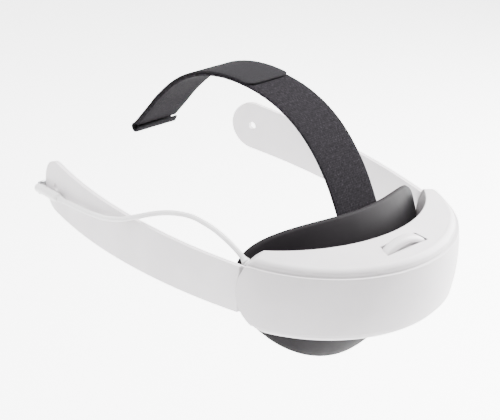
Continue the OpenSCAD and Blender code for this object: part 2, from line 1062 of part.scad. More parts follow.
module plug_tip() {
    tip_root = plug_at(plug_relief_l + plug_collar_l + plug_l - tip_back);
    color("silver")
        difference() {
            translate(tip_root + [0, -tip_t / 2, -tip_w / 2])
                cube([plug_r + tip_l, tip_t, tip_w]);
            plug_barrel();
            translate(tip_root + [-1, -tip_t, -tip_w])
                cube([1 + plug_r / 2, 2 * tip_t, 2 * tip_w]);
        }
}

outer_cover();
inner_cover();
chassis();
fit_wheel();
drive_pinion();
wheel_shaft();
shaft_washer();
detent_spring();
left_rack();
right_rack();
left_band();
right_band();
left_cell();
right_cell();
cell_foam();
circuit_board();
board_chips();
charge_port();
status_light();
cover_screws();
cradle_shell();
cradle_pad();
cradle_screws();
strap_anchor();
anchor_rivets();
crown_strap();
strap_flap();
cord_gland();
cord();
plug_relief();
plug_collar();
plug_body();
plug_tip();
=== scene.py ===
"""Powered head strap for a virtual reality headset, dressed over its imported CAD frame.

The covers, wheel and inner parts keep their CAD solids and get their finishes. The side bands,
cradle, pad, crown strap, flap, gland, cable and plug are modelled here as smooth pieces that stand
for their CAD solids. The scene is in metres, and +X is the wearer's right, +Y forward and +Z up.
Where a class says that its sizes are millimetres, they turn to metres when a point is placed.
"""

import logging
import math
from dataclasses import dataclass, field
from enum import Enum
from typing import Any, Iterable, Sequence

import bmesh
import bpy
from mathutils import Matrix, Vector


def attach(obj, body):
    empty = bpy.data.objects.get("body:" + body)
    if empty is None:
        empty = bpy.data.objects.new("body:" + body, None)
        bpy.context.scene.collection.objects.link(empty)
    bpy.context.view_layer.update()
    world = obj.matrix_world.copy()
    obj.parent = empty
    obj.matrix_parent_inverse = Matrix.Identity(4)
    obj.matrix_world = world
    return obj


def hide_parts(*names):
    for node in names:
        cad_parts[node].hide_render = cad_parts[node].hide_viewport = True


logging.basicConfig(level=logging.INFO, format="%(message)s")
LOG = logging.getLogger("head_strap")

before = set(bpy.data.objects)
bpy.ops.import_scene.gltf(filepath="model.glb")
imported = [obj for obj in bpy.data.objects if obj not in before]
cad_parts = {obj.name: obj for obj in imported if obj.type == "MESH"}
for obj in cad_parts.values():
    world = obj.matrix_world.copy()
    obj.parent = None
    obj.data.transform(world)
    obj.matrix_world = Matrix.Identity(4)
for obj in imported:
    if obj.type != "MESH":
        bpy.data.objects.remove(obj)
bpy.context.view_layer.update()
MM = 0.001
Point = tuple[float, float]
Point3 = tuple[float, float, float]


# ---- Colours, nodes and small curves ----


def linear(hex_colour: str) -> tuple[float, float, float, float]:
    """Turns an sRGB hex colour to linear.

    Args:
        hex_colour: Six hex digits with a leading #.

    Returns:
        The linear red, green and blue, and a full alpha.
    """
    values = [int(hex_colour[k : k + 2], 16) / 255 for k in (1, 3, 5)]
    flat = [v / 12.92 if v <= 0.04045 else ((v + 0.055) / 1.055) ** 2.4 for v in values]
    return (flat[0], flat[1], flat[2], 1.0)


def per_mm(size: float) -> float:
    """Gives the noise scale whose features are size millimetres across, for places in metres."""
    return 1.0 / (size * MM)


def wave_scale(period: float) -> float:
    """Gives the wave scale that draws one band every period millimetres, for places in metres."""
    return 2 * math.pi / (20 * period * MM)


def add_node(material: bpy.types.Material, kind: str, links: dict[str, Any],
             **settings: Any) -> bpy.types.Node:
    """Adds a shader node, sets it and links it.

    Args:
        material: The material whose tree takes the node.
        kind: The node's type name.
        links: Input name or number to an output socket or a plain value.
        **settings: Attributes set on the node itself.

    Returns:
        The new node.
    """
    tree = material.node_tree
    node = tree.nodes.new(kind)
    for name, value in settings.items():
        setattr(node, name, value)
    for key, value in links.items():
        socket = node.inputs[key]
        if isinstance(value, bpy.types.NodeSocket):
            tree.links.new(value, socket)
        else:
            socket.default_value = value
    return node


def curve_at(points: Sequence[Sequence[float]], t: float) -> list[float]:
    """Finds a point on the smooth curve that the CAD draws through its points.

    Args:
        points: The curve's points.
        t: Place on the curve, counted in points.

    Returns:
        The point's coordinates.
    """
    n = len(points) - 1
    i = min(int(t), n - 1)
    u = t - i
    a, b = points[max(i - 1, 0)], points[i]
    c, d = points[i + 1], points[min(i + 2, n)]
    return [
        0.5 * (2 * b[k] + (c[k] - a[k]) * u + (2 * a[k] - 5 * b[k] + 4 * c[k] - d[k]) * u * u
               + (3 * b[k] - a[k] - 3 * c[k] + d[k]) * u ** 3)
        for k in range(len(b))
    ]


def curve(points: Sequence[Sequence[float]], start: float, end: float, count: int) -> list[list[float]]:
    """Lays a row of count points along the smooth curve, from place start to place end."""
    return [curve_at(points, start + (end - start) * k / (count - 1)) for k in range(count)]


# ---- Finishes ----


class Grain(Enum):
    """How a moulded surface was left by its tool, as the width of its pits in millimetres.

    Real pits are a tenth of a millimetre and less, so they are drawn wider than life to show.
    """

    FINE_SPARK = 0.25
    SATIN = 0.45
    SOFT = 0.9


@dataclass(frozen=True)
class Moulded:
    """A moulded plastic or rubber with a fine tool texture.

    Flow and marks are the widths in millimetres of its drift in tint and of its handling marks.
    """

    name: str
    shade: str
    light: str
    roughness: float
    grain: Grain
    depth: float = 0.02 * MM
    ior: float = 1.5
    edge: float = 0.0
    sheen: float = 0.0
    specular: float = 0.5
    flow: float = 22.0
    marks: float = 9.0

    def make(self) -> bpy.types.Material:
        """Builds the material.

        Returns:
            A material with tint, roughness and grain from its nodes.
        """
        m = bpy.data.materials.new(self.name)
        m.use_nodes = True
        shader = m.node_tree.nodes["Principled BSDF"]
        place = add_node(m, "ShaderNodeTexCoord", {}).outputs["Object"]
        # slow drift in tint from the melt's flow
        flow = add_node(m, "ShaderNodeTexNoise", {
            "Vector": place, "Scale": per_mm(self.flow), "Detail": 3.0})
        tint = add_node(m, "ShaderNodeValToRGB", {"Fac": flow.outputs["Fac"]})
        tint.color_ramp.elements[0].position = 0.35
        tint.color_ramp.elements[0].color = linear(self.shade)
        tint.color_ramp.elements[1].position = 0.65
        tint.color_ramp.elements[1].color = linear(self.light)
        m.node_tree.links.new(tint.outputs["Color"], shader.inputs["Base Color"])
        # faint handling marks change the gloss
        marks = add_node(m, "ShaderNodeTexNoise", {
            "Vector": place, "Scale": per_mm(self.marks), "Detail": 4.0, "Roughness": 0.6})
        gloss = add_node(m, "ShaderNodeMapRange", {
            "Value": marks.outputs["Fac"], "To Min": self.roughness - 0.05, "To Max": self.roughness + 0.07})
        m.node_tree.links.new(gloss.outputs["Result"], shader.inputs["Roughness"])
        # the pits that the tool left
        pits = add_node(m, "ShaderNodeTexNoise", {
            "Vector": place, "Scale": per_mm(self.grain.value), "Detail": 2.0})
        bump = add_node(m, "ShaderNodeBump", {
            "Height": pits.outputs["Fac"], "Strength": 0.35, "Distance": self.depth})
        if self.edge > 0:
            # moulded edges are never knife sharp, and catch a thin line of light
            soft = add_node(m, "ShaderNodeBevel", {"Radius": self.edge}, samples=8)
            m.node_tree.links.new(soft.outputs["Normal"], bump.inputs["Normal"])
        m.node_tree.links.new(bump.outputs["Normal"], shader.inputs["Normal"])
        shader.inputs["IOR"].default_value = self.ior
        shader.inputs["Specular IOR Level"].default_value = self.specular
        if self.sheen:
            shader.inputs["Sheen Weight"].default_value = self.sheen
            shader.inputs["Sheen Roughness"].default_value = 0.4
        m.diffuse_color = linear(self.light)
        return m


@dataclass(frozen=True)
class Woven:
    """An elastic woven or brushed fabric, its threads drawn along and across the strap.

    Thread and heather are the yarn's spacing and the streaks' width in millimetres.
    """

    name: str
    dark: str
    mid: str
    fleck: str
    thread: float
    heather: float
    fleck_share: float
    relief: float
    roughness: float = 0.85

    def make(self) -> bpy.types.Material:
        """Builds the material.

        Returns:
            A material with crossed threads, heathered yarn and a soft sheen.
        """
        m = bpy.data.materials.new(self.name)
        m.use_nodes = True
        tree = m.node_tree
        shader = tree.nodes["Principled BSDF"]
        where = add_node(m, "ShaderNodeUVMap", {}, uv_map="cloth").outputs["UV"]
        # yarns across and along, with the weft a little wider apart
        wavy = {"Vector": where, "Distortion": 1.2, "Detail": 1.0, "Detail Scale": 2.0}
        warp = add_node(m, "ShaderNodeTexWave", wavy | {"Scale": wave_scale(self.thread)},
                        bands_direction="X")
        weft = add_node(m, "ShaderNodeTexWave", wavy | {"Scale": wave_scale(self.thread * 1.15)},
                        bands_direction="Y")
        weave = add_node(m, "ShaderNodeMath", {0: warp.outputs["Fac"], 1: weft.outputs["Fac"]},
                         operation="MULTIPLY")
        # heathered yarn: two shades of dyed fibre in short streaks
        streak = add_node(m, "ShaderNodeMapping", {"Vector": where, "Scale": (1.0, 0.45, 1.0)})
        heather = add_node(m, "ShaderNodeTexNoise", {
            "Vector": streak.outputs["Vector"], "Scale": per_mm(self.heather), "Detail": 3.0,
            "Roughness": 0.7})
        ramp = add_node(m, "ShaderNodeValToRGB", {"Fac": heather.outputs["Fac"]})
        ramp.color_ramp.elements[0].position = 0.36
        ramp.color_ramp.elements[0].color = linear(self.dark)
        ramp.color_ramp.elements[1].position = 0.60
        ramp.color_ramp.elements[1].color = linear(self.mid)
        light = ramp.color_ramp.elements.new(1.0 - self.fleck_share)
        light.color = linear(self.fleck)
        shade = add_node(m, "ShaderNodeMapRange", {
            "Value": weave.outputs["Value"], "To Min": 0.72, "To Max": 1.12})
        tone = add_node(m, "ShaderNodeVectorMath", {0: ramp.outputs["Color"], 1: shade.outputs["Result"]},
                        operation="MULTIPLY")
        tree.links.new(tone.outputs["Vector"], shader.inputs["Base Color"])
        height = add_node(m, "ShaderNodeMath", {0: weave.outputs["Value"], 1: heather.outputs["Fac"]},
                          operation="ADD")
        bump = add_node(m, "ShaderNodeBump", {
            "Height": height.outputs["Value"], "Strength": 0.6, "Distance": self.relief})
        tree.links.new(bump.outputs["Normal"], shader.inputs["Normal"])
        fuzz = add_node(m, "ShaderNodeMapRange", {
            "Value": heather.outputs["Fac"], "To Min": self.roughness - 0.06,
            "To Max": min(self.roughness + 0.1, 1.0)})
        tree.links.new(fuzz.outputs["Result"], shader.inputs["Roughness"])
        # dyed fibre scatters light inside the yarn and has almost no gloss
        shader.inputs["Specular IOR Level"].default_value = 0.02
        shader.inputs["Sheen Weight"].default_value = 0.005
        shader.inputs["Sheen Roughness"].default_value = 0.5
        m.diffuse_color = linear(self.mid)
        return m


@dataclass(frozen=True)
class Metal:
    """A drawn or turned metal with fine lines, spaced line millimetres apart."""

    name: str
    colour: str
    roughness: float
    line: float = 0.3
    groove: str = "#8d8e90"

    def make(self) -> bpy.types.Material:
        """Builds the material.

        Returns:
            A metallic material with fine tooling lines.
        """
        m = bpy.data.materials.new(self.name)
        m.use_nodes = True
        shader = m.node_tree.nodes["Principled BSDF"]
        place = add_node(m, "ShaderNodeTexCoord", {}).outputs["Object"]
        stretch = add_node(m, "ShaderNodeMapping", {"Vector": place, "Scale": (1.0, 0.15, 1.0)})
        lines = add_node(m, "ShaderNodeTexNoise", {
            "Vector": stretch.outputs["Vector"], "Scale": per_mm(self.line), "Detail": 4.0})
        shades = {"Factor": lines.outputs["Fac"], "A": linear(self.groove), "B": linear(self.colour)}
        tint = add_node(m, "ShaderNodeMix", shades, data_type="RGBA")
        m.node_tree.links.new(tint.outputs[2], shader.inputs["Base Color"])
        gloss = add_node(m, "ShaderNodeMapRange", {
            "Value": lines.outputs["Fac"], "To Min": self.roughness - 0.08, "To Max": self.roughness + 0.1})
        m.node_tree.links.new(gloss.outputs["Result"], shader.inputs["Roughness"])
        bump = add_node(m, "ShaderNodeBump", {
            "Height": lines.outputs["Fac"], "Strength": 0.2, "Distance": 0.01 * MM})
        m.node_tree.links.new(bump.outputs["Normal"], shader.inputs["Normal"])
        shader.inputs["Metallic"].default_value = 1.0
        m.diffuse_color = linear(self.colour)
        return m


# White polycarbonate from a fine spark-eroded tool: satin, near white, with soft bright edges.
WHITE_POLYCARBONATE = Moulded(
    "white_polycarbonate_spark_satin", "#afabad", "#b4b0b2", 0.42, Grain.FINE_SPARK, edge=1.1 * MM)
# White flexible nylon of the bands: the same colour, a little greyer and softer.
WHITE_NYLON = Moulded("white_nylon_band_satin", "#bcb8ba", "#c2bec0", 0.5, Grain.SATIN)
# Natural grey nylon of the gland, ring and moving strips: satin, a shade warmer than the covers.
GREY_NYLON = Moulded("grey_nylon_moulded", "#b9b8b8", "#c5c4c4", 0.5, Grain.SATIN)
# Charcoal ABS of the cradle, moulded satin, that shows a broad soft highlight.
CHARCOAL_ABS = Moulded("charcoal_abs_satin", "#131113", "#171517", 0.62, Grain.SATIN, specular=0.06)
# Skinned polyurethane foam: matt, soft, with a slight bloom.
PAD_SKIN = Moulded(
    "black_polyurethane_foam_skin", "#121112", "#171617", 0.8, Grain.SOFT, depth=0.1 * MM, sheen=0.04,
    specular=0.15)
# Thermoplastic elastomer jacket of the cable: white, with a soft low gloss.
CORD_ELASTOMER = Moulded("white_elastomer_cord_jacket", "#c3c1c2", "#cbc9ca", 0.5, Grain.SATIN)
# White ABS of the plug from a polished tool: a tighter highlight than the covers.
PLUG_ABS = Moulded("white_abs_plug_semi_gloss", "#c6c4c5", "#cdcbcc", 0.3, Grain.FINE_SPARK)
# Closed-cell foam under the cells: matt grey, slightly pitted.
CELL_FOAM = Moulded("grey_closed_cell_foam", "#3c3c3e", "#4a4a4c", 0.9, Grain.SOFT, depth=0.15 * MM)
# Solder mask over the board, glossy green.
SOLDER_MASK = Moulded("green_solder_mask", "#17432c", "#1d5236", 0.3, Grain.SATIN)
# Moulded epoxy of the chips: flat black with a dull gloss.
CHIP_EPOXY = Moulded("black_chip_epoxy", "#19191a", "#222223", 0.6, Grain.FINE_SPARK)
# Clear acrylic light pipe, seen as pale glass in its hole.
LIGHT_PIPE = Moulded("frosted_acrylic_light_pipe", "#d9e2dd", "#e6eeea", 0.25, Grain.FINE_SPARK, ior=1.49)
# Laminated aluminium pouch of the cells: pale metal with a broad, uneven shine.
CELL_POUCH = Metal("laminated_aluminium_pouch", "#c2c8cc", 0.35, line=2.0)
# Turned steel of shafts, screws and spring: bright, with fine lines.
STEEL = Metal("turned_steel", "#c9cacc", 0.28)
# Heathered elastic: dark grey with lighter fibres. Its yarns are drawn at 1.1 mm so that they show.
HEATHER_WEAVE = Woven(
    "heathered_grey_elastic_weave", "#100f11", "#1f1d20", "#3c383e", 1.1, 0.9, 0.22, 0.18 * MM)
# Brushed loop fabric of the flap: even, near black, finer than the elastic.
BRUSHED_LOOP = Woven(
    "charcoal_brushed_loop", "#1a191b", "#222123", "#2a292b", 0.7, 0.5, 0.05, 0.07 * MM, roughness=0.78)


@dataclass
class Paintbox:
    """Makes each finish once and hands it out."""

    made: dict[str, bpy.types.Material] = field(default_factory=dict)

    def get(self, finish: Moulded | Woven | Metal) -> bpy.types.Material:
        """Gives the material of a finish, built the first time it is asked for.

        Args:
            finish: The finish.

        Returns:
            Its material.
        """
        if finish.name not in self.made:
            self.made[finish.name] = finish.make()
        return self.made[finish.name]


PAINTS = Paintbox()


# ---- Mesh helpers ----


def add_mesh(name: str, points: Iterable[Sequence[float]],
             faces: Iterable[Sequence[int]]) -> bpy.types.Object:
    """Adds a smooth mesh object.

    Args:
        name: The piece's name.
        points: Vertices in metres.
        faces: Vertex numbers of each face.

    Returns:
        The new object.
    """
    mesh = bpy.data.meshes.new(name)
    mesh.from_pydata([tuple(p) for p in points], [], [tuple(f) for f in faces])
    mesh.validate()
    bm = bmesh.new()
    bm.from_mesh(mesh)
    bmesh.ops.recalc_face_normals(bm, faces=bm.faces)
    bm.to_mesh(mesh)
    bm.free()
    piece = bpy.data.objects.new(name, mesh)
    bpy.context.scene.collection.objects.link(piece)
    for polygon in mesh.polygons:
        polygon.use_smooth = True
    return piece


def loft(name: str, rings: Sequence[Sequence[Sequence[float]]]) -> bpy.types.Object:
    """Joins closed rings of equal length into a skin, with both ends filled.

    Args:
        name: The piece's name.
        rings: Rows of points, all the same length.

    Returns:
        The lofted piece.
    """
    count = len(rings[0])
    points = [p for ring in rings for p in ring]
    faces: list[list[int]] = []
    for i in range(len(rings) - 1):
        for k in range(count):
            a, b = i * count + k, i * count + (k + 1) % count
            faces.append([a, b, b + count, a + count])
    faces.append(list(range(count - 1, -1, -1)))
    faces.append([(len(rings) - 1) * count + k for k in range(count)])
    return add_mesh(name, points, faces)


def lathe(name: str, profile: Sequence[Point], start: Vector, along: Vector,
          sides: int = 48) -> bpy.types.Object:
    """Turns a profile round an axis.

    Args:
        name: The piece's name.
        profile: Rows of distance along the axis and radius, in metres.
        start: Where the axis begins.
        along: The axis's direction.
        sides: Points round the axis.

    Returns:
        The turned piece.
    """
    ahead = along.normalized()
    side = ahead.cross(Vector((0, 0, 1))).normalized()
    up = side.cross(ahead)
    rings = []
    for distance, radius in profile:
        middle = start + ahead * distance
        rings.append([middle + radius * (math.cos(a) * side + math.sin(a) * up)
                      for a in (2 * math.pi * k / sides for k in range(sides))])
    return loft(name, rings)


def rounded_section(width: float, depth: float, corner: float, steps: int = 4,
                    across: int = 8) -> list[Point]:
    """Outlines a flat section with soft corners.

    Args:
        width: The section's width.
        depth: Its thickness, which runs from -depth to 0 in the second coordinate.
        corner: The radius of its corners.
        steps: Steps round each corner.
        across: Steps along each wide side.

    Returns:
        The outline's points.
    """
    corner = min(corner, depth / 2 - 1e-6, width / 2 - 1e-6)
    out: list[Point] = []
    for cx, cy, first in ((1, 1, 0), (-1, 1, 90), (-1, -1, 180), (1, -1, 270)):
        centre = (cx * (width / 2 - corner), cy * (depth / 2 - corner))
        for k in range(steps + 1):
            a = math.radians(first + 90 * k / steps)
            out.append((centre[0] + corner * math.cos(a), centre[1] + corner * math.sin(a)))
        if first in (0, 180):
            edge = -cx * (width / 2 - corner)
            start = centre[0]
            out.extend((start + (edge - start) * k / across, cy * depth / 2) for k in range(1, across))
    return [(u, v - depth / 2) for u, v in out]


@dataclass
class Ribbon:
    """A flat woven strap that follows a side-view line."""

    name: str
    line: list[list[float]]
    width: float
    depth: float
    start_round: float = 0.0

    def build(self) -> bpy.types.Object:
        """Builds the strap with its cloth coordinates.

        Returns:
            The ribbon, its line on the inner face.
        """
        line = [Vector((0.0, p[0], p[1])) for p in self.line]
        rings: list[list[Vector]] = []
        runs = [0.0]
        for a, b in zip(line, line[1:]):
            runs.append(runs[-1] + (b - a).length)
        for i, middle in enumerate(line):
            ahead = (line[min(i + 1, len(line) - 1)] - line[max(i - 1, 0)]).normalized()
            out = Vector((0.0, -ahead.z, ahead.y))
            width = self.width
            if runs[i] < self.start_round:
                drop = self.start_round - runs[i]
                width -= 2 * (self.start_round - math.sqrt(max(self.start_round ** 2 - drop ** 2, 0)))
            section = rounded_section(width, self.depth, self.depth * 0.42)
            rings.append([middle + Vector((u, 0, 0)) - out * v for u, v in section])
        piece = loft(self.name, rings)
        self.cloth_map(piece, runs, len(rings[0]))
        return piece

    def cloth_map(self, piece: bpy.types.Object, runs: list[float], count: int) -> None:
        """Writes cloth coordinates in metres: across the strap and along it.

        Args:
            piece: The built ribbon.
            runs: Length along the line at each ring.
            count: Points in each ring.
        """
        mesh = piece.data
        layer = mesh.uv_layers.new(name="cloth")
        for corner in mesh.loops:
            vertex = mesh.vertices[corner.vertex_index]
            layer.data[corner.index].uv = (vertex.co.x, runs[corner.vertex_index // count])


def finish_piece(piece: bpy.types.Object, finish: Moulded | Woven | Metal, body: str, slot: str,
                 *nodes: str) -> bpy.types.Object:
    """Dresses a piece, rides it on its body and lets it stand for its CAD solids.

    Args:
        piece: The piece.
        finish: Its finish.
        body: The CAD body that carries it.
        slot: The name of a material slot, which is not used.
        *nodes: The CAD solids that it replaces.

    Returns:
        The same piece.
    """
    piece.data.materials.clear()
    piece.data.materials.append(PAINTS.get(finish))
    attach(piece, body)
    if nodes:
        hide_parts(*nodes)
    LOG.info("built %s on %s", piece.name, body)
    return piece


# ---- Cable and plug ----


@dataclass
class Cable:
    """The white cable, its gland in the housing's end and its right-angled plug.

    The route's points and the plug's direction are millimetres, the other sizes metres.
    """

    route: list[Point3] = field(default_factory=lambda: [
        (-70, -13.5, 13.3), (-70.4, -9, 16.2), (-71.6, 0, 20.6), (-73.5, 10, 24.3), (-76, 23, 26.2),
        (-80, 35, 24.9), (-84.5, 45, 21.8), (-89.3, 53.5, 18), (-92, 63.5, 13.4), (-92.5, 76, 9.4),
        (-92, 87, 7.2), (-91.2, 98, 5.6), (-90.2, 109, 4.2), (-89.1, 119, 2.9)])
    diameter: float = 3 * MM
    plug_way: Point3 = (6.9, 33, -5.5)
    relief: float = 5 * MM
    collar: float = 2.5 * MM
    barrel: float = 28.7 * MM
    barrel_r: float = 2.8 * MM
    nose: float = 1.9 * MM
    gland: float = 6.5 * MM
    gland_r: float = 2.5 * MM
    gland_root: float = 6 * MM
    ribs: int = 3
    rib_step: float = 1.6 * MM
    tip_tall: float = 8.2 * MM
    tip_thin: float = 2.4 * MM
    tip_reach: float = 6.5 * MM
    tip_setback: float = 2.2 * MM
    tip_wall: float = 0.45 * MM
    tip_lip: float = 0.25 * MM
    tip_socket: float = 4.5 * MM
    between: int = 8
    sides: int = 40

    def centre_line(self) -> list[Vector]:
        """Gives the cable's middle line in metres."""
        count = self.between * (len(self.route) - 1) + 1
        return [Vector(p) * MM for p in curve(self.route, 0, len(self.route) - 1, count)]

    def build(self) -> None:
        line = self.centre_line()
        data = bpy.data.curves.new("cable", "CURVE")
        data.dimensions = "3D"
        data.bevel_depth = self.diameter / 2
        data.bevel_resolution = 6
        data.use_fill_caps = True
        spline = data.splines.new("POLY")
        spline.points.add(len(line) - 1)
        for point, place in zip(spline.points, line):
            point.co = (*place, 1.0)
        spline.use_smooth = True
        cable = bpy.data.objects.new("cable", data)
        bpy.context.scene.collection.objects.link(cable)
        finish_piece(cable, CORD_ELASTOMER, "housing", "cord_jacket", "cord")
        plug_pieces = self.build_plug(line[-1])
        self.build_gland(line[0], line[1])

    def build_gland(self, start: Vector, after: Vector) -> None:
        """Builds the ribbed strain relief that comes out of the housing's end.

        Args:
            start: Where the cable leaves it.
            after: The next point of the cable.
        """
        r = self.diameter / 2
        profile = [(0.0, r + 0.05 * MM), (0.2 * MM, r + 0.45 * MM)]
        for k in range(1, self.ribs + 1):
            # each rib stands a little higher than the one before it
            at = self.rib_step * k
            low, high = r + (0.5 + 0.12 * k) * MM, r + (0.8 + 0.2 * k) * MM
            profile += [(at - 0.15 * MM, low), (at, high), (at + 0.8 * MM, high), (at + 0.95 * MM, low)]
        profile += [(self.gland, self.gland_r), (self.gland + self.gland_root, self.gland_r)]
        gland = lathe("cable_gland", profile, start, start - after, self.sides)
        finish_piece(gland, GREY_NYLON, "housing", "grey_plastic", "cord_gland")

    def build_plug(self, start: Vector) -> list[bpy.types.Object]:
        """Builds the plug's relief, ring, barrel and metal tip.

        Args:
            start: The end of the cable.

        Returns:
            The four pieces.
        """
        way = Vector(self.plug_way).normalized()
        r = self.diameter / 2
        # each profile holds the distance from the cable's end and the radius there
        sleeve = [(-0.3 * MM, r), (0.1 * MM, r + 0.25 * MM), (2 * MM, r + 0.35 * MM),
                  (self.relief - 0.4 * MM, 1.95 * MM), (self.relief, 2.0 * MM)]
        relief = lathe("plug_relief_sleeve", sleeve, start, way, self.sides)
        finish_piece(relief, CORD_ELASTOMER, "housing", "cord_jacket", "plug_relief")
        at = self.relief
        bead = [(at, 1.8 * MM), (at + 0.15 * MM, 2.3 * MM), (at + 0.5 * MM, 2.5 * MM),
                (at + 2.0 * MM, 2.5 * MM), (at + 2.35 * MM, 2.3 * MM), (at + self.collar, 1.9 * MM)]
        ring = lathe("plug_ring", bead, start, way, self.sides)
        finish_piece(ring, GREY_NYLON, "housing", "grey_plastic", "plug_collar")
        at += self.collar
        big = self.barrel_r
        profile = [(at, big - 0.7 * MM), (at + 0.15 * MM, big - 0.35 * MM),
                   (at + 0.5 * MM, big - 0.08 * MM), (at + 0.9 * MM, big)]
        end = at + self.barrel
        for k in range(9):
            a = math.radians(90 * k / 8)
            profile.append((end + self.nose * (math.sin(a) - 1), big + self.nose * (math.cos(a) - 1)))
        barrel = lathe("plug_barrel", profile, start, way, 56)
        finish_piece(barrel, PLUG_ABS, "housing", "plug_shell", "plug_body")
        tip = self.build_tip(start + way * (end - self.tip_setback))
        return [relief, ring, barrel, tip]

    def build_tip(self, root: Vector) -> bpy.types.Object:
        """Builds the oval metal tip that points in towards the headset.

        Args:
            root: The middle of its root, on the barrel's axis.

        Returns:
            The tip.
        """
        reach = self.barrel_r + self.tip_reach
        half = (self.tip_tall - self.tip_thin) / 2
        # out along the shell, over its lip and back down inside its socket
        shell = [(0.0, 0.0), (reach - self.tip_lip, 0.0), (reach, self.tip_lip),
                 (reach - 0.05 * MM, self.tip_wall), (reach - self.tip_socket, self.tip_wall)]
        rings: list[list[Vector]] = []
        for along, inset in shell:
            r = self.tip_thin / 2 - inset
            ring = []
            for k in range(self.sides):
                a = 2 * math.pi * k / self.sides
                z = math.copysign(half, math.sin(a)) + r * math.sin(a)
                ring.append(root + Vector((along, r * math.cos(a), z)))
            rings.append(ring)
        tip = loft("plug_metal_tip", rings)
        return finish_piece(tip, STEEL, "housing", "plug_metal", "plug_tip")


# ---- Side bands ----


@dataclass
class SideBand:
    """One flexible side band, bowed outward, with a round front end and its bore.

    Its sizes are millimetres; mouth, widest and hole are x and y in plan.
    """

    side: int
    mouth: Point = (75.504, -19.306)
    widest: Point = (87.704, 73.8)
    hole: Point = (80.904, 135.1)
    depth: float = 2.8
    rear_h: float = 27.6
    front_h: float = 31.5
    mid_rear: float = -1.3
    mid_front: float = 4.15
    lift: float = 0.6
    tip: float = 15.0
    tail: float = 3.0
    bore: float = 2.5
    edge: float = 0.75
    thin_to: float = 1.5
    thin_blend: float = 0.15
    thin_face: float = -0.06
    rows: int = 60
    turns: int = 40
    slices: int = 66
    sharp: float = 1.2

    def radius(self, y: float) -> float:
        """Gives the radius of the band's plan.

        Args:
            y: The place along the band.

        Returns:
            The radius there, which differs before and after the widest place.
        """
        other = self.mouth if y < self.widest[1] else self.hole
        dy, dx = other[1] - self.widest[1], self.widest[0] - other[0]
        return (dy * dy + dx * dx) / (2 * dx)

    def place(self, y: float, out: float, z: float) -> Vector:
        """Bends a flat point of the band round its plan.

        Args:
            y: How far along the band.
            out: How far out from its middle line.
            z: How high.

        Returns:
            The place in metres.
        """
        r = self.radius(y)
        a = math.asin((y - self.widest[1]) / r)
        x = self.widest[0] - r + (r + out) * math.cos(a)
        return Vector((self.side * x, self.widest[1] + (r + out) * math.sin(a), z)) * MM

    def edges(self, y: float) -> Point:
        """Finds the band's lower and upper edge, before its round end.

        Args:
            y: The place along the band.

        Returns:
            The lowest and the highest z there.
        """
        share = max((y - self.mouth[1]) / (self.hole[1] - self.mouth[1]), 0)
        half = (self.rear_h + (self.front_h - self.rear_h) * share) / 2
        mid = self.mid_rear + (self.mid_front - self.mid_rear) * share ** 2 + self.lift * share * (1 - share)
        return mid - half, mid + half

    def outline(self) -> list[Point]:
        """Draws the band's side view.

        Returns:
            The outline as rows of y and z.
        """
        end = self.hole[1] + self.tip
        round_y = end - self.front_h / 2
        low, high = self.edges(round_y)
        mid, half = (low + high) / 2, (high - low) / 2
        start = self.mouth[1] - self.tail
        rows = [start + (round_y - start) * k / self.rows for k in range(self.rows + 1)]
        top = [(y, self.edges(y)[1]) for y in rows]
        turns = [math.radians(90 - 180 * k / self.turns) for k in range(1, self.turns)]
        nose = [(round_y + half * math.cos(a), mid + half * math.sin(a)) for a in turns]
        low_row = [(y, self.edges(y)[0]) for y in reversed(rows)]
        return top + nose + low_row

    def build(self) -> bpy.types.Object:
        """Builds the band with soft edges and its bore.

        Returns:
            The band.
        """
        name = "side_band_right" if self.side > 0 else "side_band_left"
        bm = bmesh.new()
        rim = [bm.verts.new((0.0, y, z)) for y, z in self.outline()]
        hole = []
        for k in range(self.turns):
            a = 2 * math.pi * k / self.turns
            place = (0.0, self.hole[1] + self.bore * math.cos(a), self.mid_front + self.bore * math.sin(a))
            hole.append(bm.verts.new(place))
        for loop in (rim, hole):
            for a, b in zip(loop, loop[1:] + loop[:1]):
                bm.edges.new((a, b))
        bmesh.ops.triangle_fill(bm, use_beauty=True, use_dissolve=False, edges=bm.edges[:])
        start, end = self.mouth[1] - self.tail, self.hole[1] + self.tip
        step = self.mouth[1] + self.thin_to
        # cuts across the band let it bend, and two more set off its thin tail
        cuts = [start + (end - start) * k / self.slices for k in range(1, self.slices)]
        cuts += [step - self.thin_blend, step + self.thin_blend]
        for cut in cuts:
            bmesh.ops.bisect_plane(bm, geom=bm.verts[:] + bm.edges[:] + bm.faces[:], plane_co=(0, cut, 0),
                                   plane_no=(0, 1, 0), dist=1e-5)
        for v in bm.verts:
            v.co.x = -self.depth / 2
        skin = bmesh.ops.extrude_face_region(bm, geom=bm.faces[:])
        for item in skin["geom"]:
            if isinstance(item, bmesh.types.BMVert):
                item.co.x = self.depth / 2
        bmesh.ops.recalc_face_normals(bm, faces=bm.faces[:])
        sharp = [e for e in bm.edges if len(e.link_faces) == 2 and e.calc_face_angle(0) > self.sharp
                 and abs(e.verts[0].co.x - e.verts[1].co.x) < 1e-4]
        bmesh.ops.bevel(bm, geom=sharp, offset=self.edge, offset_type="OFFSET", segments=3, profile=0.5,
                        affect="EDGES", clamp_overlap=True)
        for v in bm.verts:
            # the tail keeps only its inner half, to lie in the pocket behind the mouth
            out = min(v.co.x, self.thin_face) if v.co.y < step else v.co.x
            v.co = self.place(v.co.y, out, v.co.z)
        bmesh.ops.recalc_face_normals(bm, faces=bm.faces[:])
        mesh = bpy.data.meshes.new(name)
        bm.to_mesh(mesh)
        bm.free()
        band = bpy.data.objects.new(name, mesh)
        bpy.context.scene.collection.objects.link(band)
        for polygon in mesh.polygons:
            polygon.use_smooth = True
        body = "right_band" if self.side > 0 else "left_band"
        return finish_piece(band, WHITE_NYLON, body, "white_band", body)


# ---- Cradle ----


